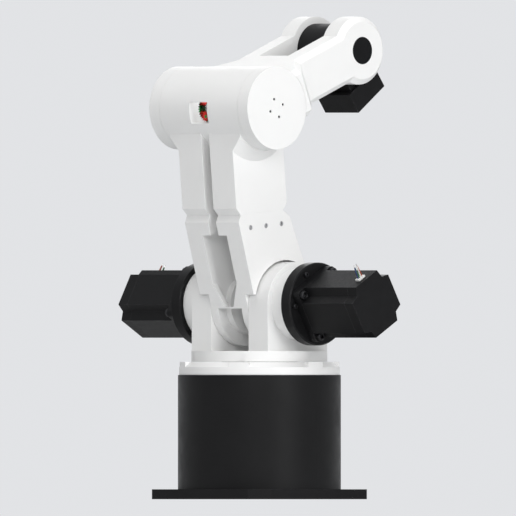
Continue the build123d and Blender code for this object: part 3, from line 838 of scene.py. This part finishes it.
TURNED_BLACK = (0.007, 0.007, 0.0075)
COATED_BLACK = (0.0065, 0.0065, 0.007)
WHITE = MouldedPlastic("white moulded shell", Slot.WHITE, (0.80, 0.80, 0.795))
BASE_BLACK = GlossCoat("gloss black casing", Slot.BASE, (0.0085, 0.0085, 0.009))
GEARBOX_BLACK = Anodised("black anodised gearbox", Slot.GEARBOX, TURNED_BLACK, "X", SHOULDER_POINT)
WAIST_BLACK = Anodised("black anodised waist gearbox", Slot.GEARBOX, TURNED_BLACK, "Z", (0.0, 0.0, 0.0))
MOTOR_SHEETS = Laminated("coated motor sheets", Slot.MOTOR, COATED_BLACK, "X")
WAIST_SHEETS = Laminated("coated waist motor sheets", Slot.MOTOR, COATED_BLACK, "Z")
MOTOR_CAST = CastBlack("cast motor covers", Slot.MOTOR, COATED_BLACK)
DRIVE_CAST = CastBlack("cast wrist drive", Slot.MOTOR, TURNED_BLACK, 0.42)
COVER_BLACK = CastBlack("black wrist covers", Slot.MOTOR, (0.004, 0.004, 0.0045), 0.5)
OXIDE = Steel("black oxide screws", Slot.SCREW, (0.045, 0.045, 0.048), 0.42)
ZINC = Steel("zinc plated screws", Slot.PALE_SCREW, (0.50, 0.50, 0.51), 0.34)
BEARING = Steel("ground bearing steel", Slot.BEARING, (0.55, 0.56, 0.58), 0.22)
SHAFT = Steel("turned shaft steel", Slot.SHAFT, (0.50, 0.50, 0.51), 0.26)
TINNED = Steel("tinned wire ends", Slot.SHAFT, (0.74, 0.73, 0.71), 0.3)
GREEN_GEAR = MouldedPlastic(
    "green carrier plastic", Slot.GREEN_GEAR, (0.022, 0.28, 0.055), rubbed=(0.1, 0.5, 0.15)
)
RED_GEAR = MouldedPlastic("red gear plastic", Slot.RED_GEAR, (0.55, 0.018, 0.014), rubbed=(0.8, 0.15, 0.12))
EXIT_WHITE = MouldedPlastic("white lead exit", Slot.LEAD_BLOCK, (0.74, 0.74, 0.73), roughness=0.5)
LEAD_LIGHT = LeadSleeve("light lead sleeve", Slot.LEAD_LIGHT, (0.72, 0.70, 0.66))
LEAD_BLUE = LeadSleeve("blue lead sleeve", Slot.LEAD_BLUE, (0.012, 0.026, 0.12))
LEAD_RED = LeadSleeve("red lead sleeve", Slot.LEAD_RED, (0.33, 0.05, 0.018))
LEAD_GREEN = LeadSleeve("green lead sleeve", Slot.LEAD_GREEN, (0.02, 0.11, 0.035))


def add_motor_bolts(mesh: bmesh.types.BMesh, flange: Matrix) -> None:
    """Add the four bolts of a motor, their heads behind its flange.

    Args:
        mesh: Mesh that takes the bolts.
        flange: Place of the flange's back, the motor pointing down.
    """
    half = MOTOR_BOLT_PITCH / 2
    for x in (-half, half):
        for y in (-half, half):
            MOTOR_BOLT.add(mesh, flange @ at(x, y) @ turned(180, "X"))


@dataclass
class Base:
    """Foot, casing, fixed flange and the waist drive inside."""

    screw_circle: float = 72.0
    screw_count: int = 6
    lug_screw_seat: float = 133.2
    foot_screw_seat: float = 4.0
    screw: CapScrew = CapScrew(2.0, 3.4, 4.0, 14.9)
    motor_face: float = 96.2

    def build(self) -> None:
        """Dress the fixed pieces and add their screws."""
        dress(["base_plate", "base_shell"], BASE_BLACK)
        dress(["top_flange"], WHITE)
        dress(["slew_outer_ring"], BEARING)
        dress(["waist_gearbox"], WAIST_BLACK)
        dress(["waist_motor_body"], WAIST_SHEETS)
        dress(["waist_motor_front", "waist_motor_rear"], MOTOR_CAST)
        self.add_screws("flange_cap_screws", "flange_screws", self.lug_screw_seat, 0)
        self.add_screws("foot_cap_screws", "base_screws", self.foot_screw_seat, 180)
        self.add_motor_screws()

    def add_screws(self, name: str, node: str, seat: float, turn: float) -> None:
        """Add a circle of screws.

        Args:
            name: Name of the piece.
            node: Node that it stands for.
            seat: Height of the heads' undersides.
            turn: Turn about X, 0 for screws that point down.
        """
        piece = Piece(name, "base", [OXIDE], (node,))
        for index in range(self.screw_count):
            spot = turned(360 * index / self.screw_count, "Z") @ at(self.screw_circle, 0, seat)
            self.screw.add(piece.mesh, spot @ turned(turn, "X"))
        piece.finish()

    def add_motor_screws(self) -> None:
        """Add the four screws that hold the waist motor to its gearbox."""
        piece = Piece("waist_motor_cap_screws", "base", [OXIDE], ("waist_motor_bolts",))
        add_motor_bolts(piece.mesh, at(z=self.motor_face - MOTOR_FLANGE))
        piece.finish()


@dataclass
class Turntable:
    """Turning disc, both uprights and the slewing ring's turning half."""

    screw_seat: float = 142.5
    screw: CapScrew = CapScrew(2.5, 4.25, 5.0, 15.7)
    upright_middle: float = 40.15
    upright_spread: float = 33.4

    def build(self) -> None:
        """Dress the turntable and add the uprights' screws."""
        dress(["turntable_disc", "upright_right", "upright_left"], WHITE)
        dress(["slew_inner_ring", "shoulder_bearings"], BEARING)
        dress(["waist_hub", "waist_shaft"], SHAFT)
        piece = Piece("upright_cap_screws", "turntable", [OXIDE], ("upright_screws",))
        for side in Side:
            for step in (-1, 0, 1):
                x = side.value * self.upright_middle
                spot = at(x, step * self.upright_spread, self.screw_seat)
                self.screw.add(piece.mesh, spot @ turned(180, "X"))
        piece.finish()


@dataclass
class ShoulderDrives:
    """Gearbox and motor on each side of the shoulder, with the bolts and leads."""

    shoulder_height: float = SHOULDER[2]
    gearbox_face: float = 84.3
    bolt_circle: float = 35.2
    bolt_turn: float = 153.8
    bolt_spread: float = 30.0
    turn: float = 30.0
    motor_length: float = 81.4
    lead_setback: float = 8.0
    lead_start: float = 31.0
    lead_pitch: float = 2.0
    lead_reach: float = 14.4
    lead_root: float = 0.4
    lead_steps: int = 12
    lead_leans: tuple[float, ...] = (0.5, -0.7, 0.8, -0.4)
    lead_curve: float = 0.6
    lead_gather: float = 0.25
    lead_sag: float = 0.8
    sleeve_radius: float = 0.65
    strand_radius: float = 0.35
    strand_reach: float = 2.6
    gearbox_bolt: CapScrew = CapScrew(1.5, 2.55, 3.0, 0.4)

    def motor_place(self, side: Side) -> Matrix:
        """Place of a motor's own frame, which points to -Z from its front face.

        Args:
            side: Side of the arm.

        Returns:
            The place.
        """
        half_turn = turned(0 if side is Side.RIGHT else 180, "Z")
        spot = at(self.gearbox_face, 0, self.shoulder_height)
        return half_turn @ spot @ turned(self.turn, "X") @ turned(-90, "Y")

    def build(self) -> None:
        """Dress the drives and add their bolts and leads."""
        sides = [side.name.lower() for side in Side]
        dress([f"shoulder_gearbox_{side}" for side in sides], GEARBOX_BLACK)
        dress([f"motor_body_{side}" for side in sides], MOTOR_SHEETS)
        dress([f"motor_{end}_{side}" for end in ("front", "rear") for side in sides], MOTOR_CAST)
        dress(["lead_blocks"], EXIT_WHITE)
        self.add_gearbox_bolts()
        self.add_motor_bolts()
        self.add_leads()

    def add_gearbox_bolts(self) -> None:
        """Add the bolts round the outer face of both gearboxes."""
        piece = Piece("gearbox_cap_screws", "turntable", [OXIDE], ("gearbox_screws",))
        for side in Side:
            half_turn = turned(0 if side is Side.RIGHT else 180, "Z")
            face = half_turn @ at(self.gearbox_face, 0, self.shoulder_height)
            for line in (self.bolt_turn, self.bolt_turn + 180):
                for angle in (line - self.bolt_spread, line + self.bolt_spread):
                    spot = face @ turned(angle, "X") @ at(0, self.bolt_circle, 0)
                    self.gearbox_bolt.add(piece.mesh, spot @ turned(90, "Y"))
        piece.finish()

    def add_motor_bolts(self) -> None:
        """Add the bolts in the corner channels of both motors."""
        piece = Piece("motor_cap_screws", "turntable", [OXIDE], ("motor_bolts",))
        for side in Side:
            add_motor_bolts(piece.mesh, self.motor_place(side) @ at(z=-MOTOR_FLANGE))
        piece.finish()

    def lead_line(self, side: Side, index: int, lean: float) -> list[Vector]:
        """Middle line of a lead, straight out of its exit and then bent a little.

        Args:
            side: Side of the arm.
            index: Number of the lead in its row.
            lean: How far its end leans across the row, in millimetres.

        Returns:
            Points in metres.
        """
        place = self.motor_place(side)
        across = (index - (len(self.lead_leans) - 1) / 2) * self.lead_pitch
        line = []
        for step in range(self.lead_steps + 1):
            share = step / self.lead_steps
            bend = share * share * (1 + self.lead_curve - self.lead_curve * share)
            x = self.lead_start - self.lead_root + share * (self.lead_reach + self.lead_root)
            y = across * (1 - self.lead_gather * bend) + lean * bend
            z = self.lead_setback - self.motor_length - self.lead_sag * lean * bend
            line.append(place @ (Vector((x, y, z)) * MM))
        return line

    def add_leads(self) -> None:
        """Add the four leads of each motor, their ends bared and tinned."""
        sleeves = (LEAD_BLUE, LEAD_GREEN, LEAD_LIGHT, LEAD_RED)
        for index, (sleeve, lean) in enumerate(zip(sleeves, self.lead_leans)):
            name = f"motor_lead_{sleeve.slot.value.removeprefix('lead_')}"
            piece = Piece(name, "turntable", [sleeve, TINNED], (f"motor_leads_{index + 1}",))
            for side in Side:
                line = self.lead_line(side, index, lean)
                bare = [point for point in line if (line[-1] - point).length < self.strand_reach * MM]
                cut = len(line) - len(bare) + 1
                add_tube(piece.mesh, line[:cut], self.sleeve_radius)
                add_tube(piece.mesh, line[cut - 1:], self.strand_radius, finish=1)
            piece.finish()


@dataclass
class UpperArm:
    """Lower link, upper link with the elbow housing, and what is fixed inside."""

    elbow: tuple[float, float, float] = ELBOW
    lean: float = 5.1
    link_length: float = 105.1
    bolt_drop: float = 13.6
    bolt_pitch: float = 21.8
    bolt_offset: float = 5.8
    bolt_seat: float = 35.5
    bolt: CapScrew = CapScrew(1.5, 2.55, 2.5, 20.5)

    def build(self) -> None:
        """Dress the links and the fixed pieces of the elbow and add the link screws."""
        dress(["lower_link", "upper_link", "housing_covers", "ring_gear"], WHITE)
        dress(["elbow_bearings"], BEARING)
        dress(["shoulder_shafts", "sun_gear"], SHAFT)
        dress(["elbow_motor_plate"], MOTOR_CAST)
        dress(["elbow_motor"], MOTOR_SHEETS)
        self.add_link_bolts()

    def add_link_bolts(self) -> None:
        """Add the three screws on each side of the joint between the links."""
        piece = Piece("link_cap_screws", "upper_arm", [ZINC], ("link_screws",))
        upper = at(*self.elbow) @ turned(self.lean, "X")
        drop = -self.link_length - self.bolt_drop
        for side in Side:
            for step in (-1, 0, 1):
                depth = self.bolt_offset + step * self.bolt_pitch
                spot = upper @ at(side.value * self.bolt_seat, depth, drop)
                self.bolt.add(piece.mesh, spot @ turned(side.value * 90, "Y"))
        piece.finish()


@dataclass
class PlanetaryStage:
    """Red planet gears on the green carrier, behind the housing's window."""

    count: int = 3

    def build(self) -> None:
        """Dress the gears."""
        dress([f"planet_gear_{index + 1}" for index in range(self.count)], RED_GEAR)
        dress(["planet_carrier"], GREEN_GEAR)


@dataclass
class Forearm:
    """Yoke and fork, the hub caps and the wrist's bushes and covers."""

    elbow: tuple[float, float, float] = ELBOW
    cap_face: float = 69.3
    bolt_circle: float = 9.5
    bolt_turn: float = 21.5
    bolt_count: int = 4
    sunk: float = 0.6
    grub: GrubScrew = GrubScrew(1.4, 2.4)

    def build(self) -> None:
        """Dress the forearm and add the caps' grub screws."""
        dress(["forearm_frame", "hub_caps"], WHITE)
        dress(["elbow_shaft_left", "elbow_shaft_right"], SHAFT)
        dress(["wrist_caps"], COVER_BLACK)
        dress(["wrist_bushes"], BEARING)
        self.add_cap_screws()

    def add_cap_screws(self) -> None:
        """Add the grub screws of both hub caps."""
        piece = Piece("hub_grub_screws", "forearm", [OXIDE], ("cap_screws",))
        for side in Side:
            for index in range(self.bolt_count):
                angle = self.bolt_turn + 90 * index
                spot = at(*self.elbow) @ turned(angle, "X")
                spot = spot @ at(side.value * (self.cap_face - self.sunk), self.bolt_circle, 0)
                self.grub.add(piece.mesh, spot @ turned(side.value * 90, "Y"))
        piece.finish()


@dataclass
class Wrist:
    """Round wrist drive with the square tool drive and its flange."""

    joint: tuple[float, float, float] = (0.0, 101.0, 448.63)
    tilt: float = -53.8
    start: float = 37.6
    end: float = 59.9
    half_width: float = 23.5
    low: float = -23.9
    high: float = 21.3
    broken_edge: float = 0.5
    pocket_radius: float = 16.5
    pocket_floor: float = 54.9
    shaft_bore: float = 4.3
    back_wall: float = 3.0
    steps: int = 16

    def build(self) -> None:
        """Dress the wrist and the tool flange and add the tool drive's casing."""
        dress(["wrist_drum"], DRIVE_CAST)
        dress(["wrist_axles", "tool_shaft", "tool_flange"], SHAFT)
        self.add_casing()

    def outline(self, inset: float) -> list[tuple[float, float]]:
        """Square outline of the casing, each side in even steps.

        Args:
            inset: How far it stands inside the full outline.

        Returns:
            The points, from the lower +X corner on.
        """
        right = self.half_width - inset
        low = self.low + inset
        high = self.high - inset
        corners = [(right, low), (right, high), (-right, high), (-right, low)]
        points = []
        for index, start in enumerate(corners):
            after = corners[(index + 1) % len(corners)]
            for step in range(self.steps):
                share = step / self.steps
                points.append(tuple(near + share * (far - near) for near, far in zip(start, after)))
        return points

    def circle(self, radius: float) -> list[tuple[float, float]]:
        """Round outline with its points in line with the square one's."""
        spokes = [Vector(point).normalized() * radius for point in self.outline(0.0)]
        return [(spoke.x, spoke.y) for spoke in spokes]

    def add_casing(self) -> None:
        """Add the square casing with its broken edges and the flange's pocket."""
        piece = Piece("tool_drive_casing", "wrist", [DRIVE_CAST], ("tool_drive",))
        place = at(*self.joint) @ turned(self.tilt, "X")
        bore = self.circle(self.shaft_bore)
        pocket = self.circle(self.pocket_radius)
        full = self.outline(0.0)
        broken = self.outline(self.broken_edge)
        levels = (
            (bore, self.start + self.back_wall),
            (bore, self.pocket_floor),
            (pocket, self.pocket_floor),
            (pocket, self.end),
            (broken, self.end),
            (full, self.end - self.broken_edge),
            (full, self.start + self.broken_edge),
            (broken, self.start),
        )
        loops = []
        for points, depth in levels:
            loops.append([piece.mesh.verts.new(place @ (Vector((x, depth, z)) * MM)) for x, z in points])
        close_loops(piece.mesh, loops)
        piece.finish()


@dataclass
class Lamp:
    """Square soft lamp that looks at a point."""

    name: str
    place: tuple[float, float, float]
    target: tuple[float, float, float]
    side: float
    power: float
    body: str = ""

    def build(self) -> None:
        """Add the lamp, on its body if it has one."""
        data = bpy.data.lights.new(self.name, "AREA")
        data.size = self.side
        data.energy = self.power
        lamp = bpy.data.objects.new(self.name, data)
        lamp.location = self.place
        aim = Vector(self.target) - Vector(self.place)
        lamp.rotation_euler = aim.to_track_quat("-Z", "Y").to_euler()
        bpy.context.scene.collection.objects.link(lamp)
        if self.body:
            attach(lamp, self.body)


@dataclass
class Studio:
    """Level parallel camera, pale floor, pale background and soft lamps."""

    azimuth: float = 45.0
    frame_side: float = 0.516
    centre_height: float = 0.2412
    slide: float = -0.0014
    camera_distance: float = 2.0
    clip_start: float = 0.01
    clip_end: float = 50.0
    floor_side: float = 8.0
    fade_start: float = 0.5
    fade_end: float = 1.7
    background: tuple[float, float, float, float] = (0.76, 0.77, 0.79, 1)
    floor_colour: Colour = (0.80, 0.81, 0.82)
    floor_shade: float = 0.985
    floor_clouds: Waves = Waves(3, 3)
    floor_roughness: float = 0.9
    ambient: float = 0.26
    lamps: tuple[Lamp, ...] = (
        Lamp("key lamp", (2.5, -0.35, 0.9), (0.0, 0.0, 0.25), 1.2, 33.5),
        Lamp("fill lamp", (1.5, -1.8, 1.1), (0.0, 0.0, 0.25), 1.0, 16.0),
        Lamp("top lamp", (0.1, -0.5, 2.4), (0.0, 0.0, 0.25), 1.4, 25.5),
        Lamp("back lamp", (-1.6, 1.9, 1.4), (0.0, 0.0, 0.25), 1.4, 9.0),
        Lamp("housing lamp", (0.010, -0.046, 0.414), (-0.024, -0.058, 0.385), 0.010, 0.017, "upper_arm"),
    )

    def build_camera(self) -> None:
        """Set the camera where the photograph was taken from."""
        turn = math.radians(self.azimuth)
        back = Vector((math.sin(turn), -math.cos(turn), 0))
        right = Vector((math.cos(turn), math.sin(turn), 0))
        data = bpy.data.cameras.new("camera")
        data.type = "ORTHO"
        data.ortho_scale = self.frame_side
        camera = bpy.data.objects.new("camera", data)
        centre = Vector((0, 0, self.centre_height)) + right * self.slide
        camera.location = centre + back * self.camera_distance
        camera.rotation_euler = (-back).to_track_quat("-Z", "Y").to_euler()
        data.clip_start = self.clip_start
        data.clip_end = self.clip_end
        bpy.context.scene.collection.objects.link(camera)
        bpy.context.scene.camera = camera

    def build_world(self) -> None:
        """Light the room evenly and show a pale background behind the object."""
        world = bpy.data.worlds.new("room")
        world.use_nodes = True
        tree = world.node_tree
        tree.nodes.clear()
        path = tree.nodes.new("ShaderNodeLightPath")
        seen = path.outputs["Is Camera Ray"]
        for ray in ("Is Glossy Ray", "Is Transmission Ray"):
            either = tree.nodes.new("ShaderNodeMath")
            either.operation = "MAXIMUM"
            tree.links.new(seen, either.inputs[0])
            tree.links.new(path.outputs[ray], either.inputs[1])
            seen = either.outputs["Value"]
        light = tree.nodes.new("ShaderNodeBackground")
        light.inputs["Color"].default_value = (1, 1, 1, 1)
        light.inputs["Strength"].default_value = self.ambient
        shown = tree.nodes.new("ShaderNodeBackground")
        shown.inputs["Color"].default_value = self.background
        shown.inputs["Strength"].default_value = 1.0
        mix = tree.nodes.new("ShaderNodeMixShader")
        out = tree.nodes.new("ShaderNodeOutputWorld")
        tree.links.new(seen, mix.inputs["Fac"])
        tree.links.new(light.outputs["Background"], mix.inputs[1])
        tree.links.new(shown.outputs["Background"], mix.inputs[2])
        tree.links.new(mix.outputs["Shader"], out.inputs["Surface"])
        bpy.context.scene.world = world

    def build_floor(self) -> None:
        """Lay the floor."""
        mesh = bmesh.new()
        half = self.floor_side / 2
        corners = [(-half, -half, 0), (half, -half, 0), (half, half, 0), (-half, half, 0)]
        mesh.faces.new([mesh.verts.new(corner) for corner in corners])
        data = bpy.data.meshes.new("floor")
        mesh.to_mesh(data)
        mesh.free()
        graph = Graph("floor paper")
        clouds = graph.noise(self.floor_clouds)
        graph.set("Base Color", graph.mottle(clouds, self.floor_colour, self.floor_shade))
        graph.shader.inputs["Roughness"].default_value = self.floor_roughness
        graph.fade(self.background, self.fade_start, self.fade_end)
        data.materials.append(graph.material)
        floor = bpy.data.objects.new("floor", data)
        bpy.context.scene.collection.objects.link(floor)

    def build(self) -> None:
        """Build the studio."""
        self.build_camera()
        self.build_world()
        self.build_floor()
        for lamp in self.lamps:
            lamp.build()
        bpy.context.scene.view_settings.view_transform = "Standard"


def main() -> None:
    """Build the studio and every sub-assembly in order."""
    logging.basicConfig(level=logging.INFO, format="%(message)s")
    Studio().build()
    parts = (Base(), Turntable(), ShoulderDrives(), UpperArm(), PlanetaryStage(), Forearm(), Wrist())
    for part in parts:
        LOG.info("building %s", type(part).__name__)
        part.build()


if __name__ == "__main__":
    main()
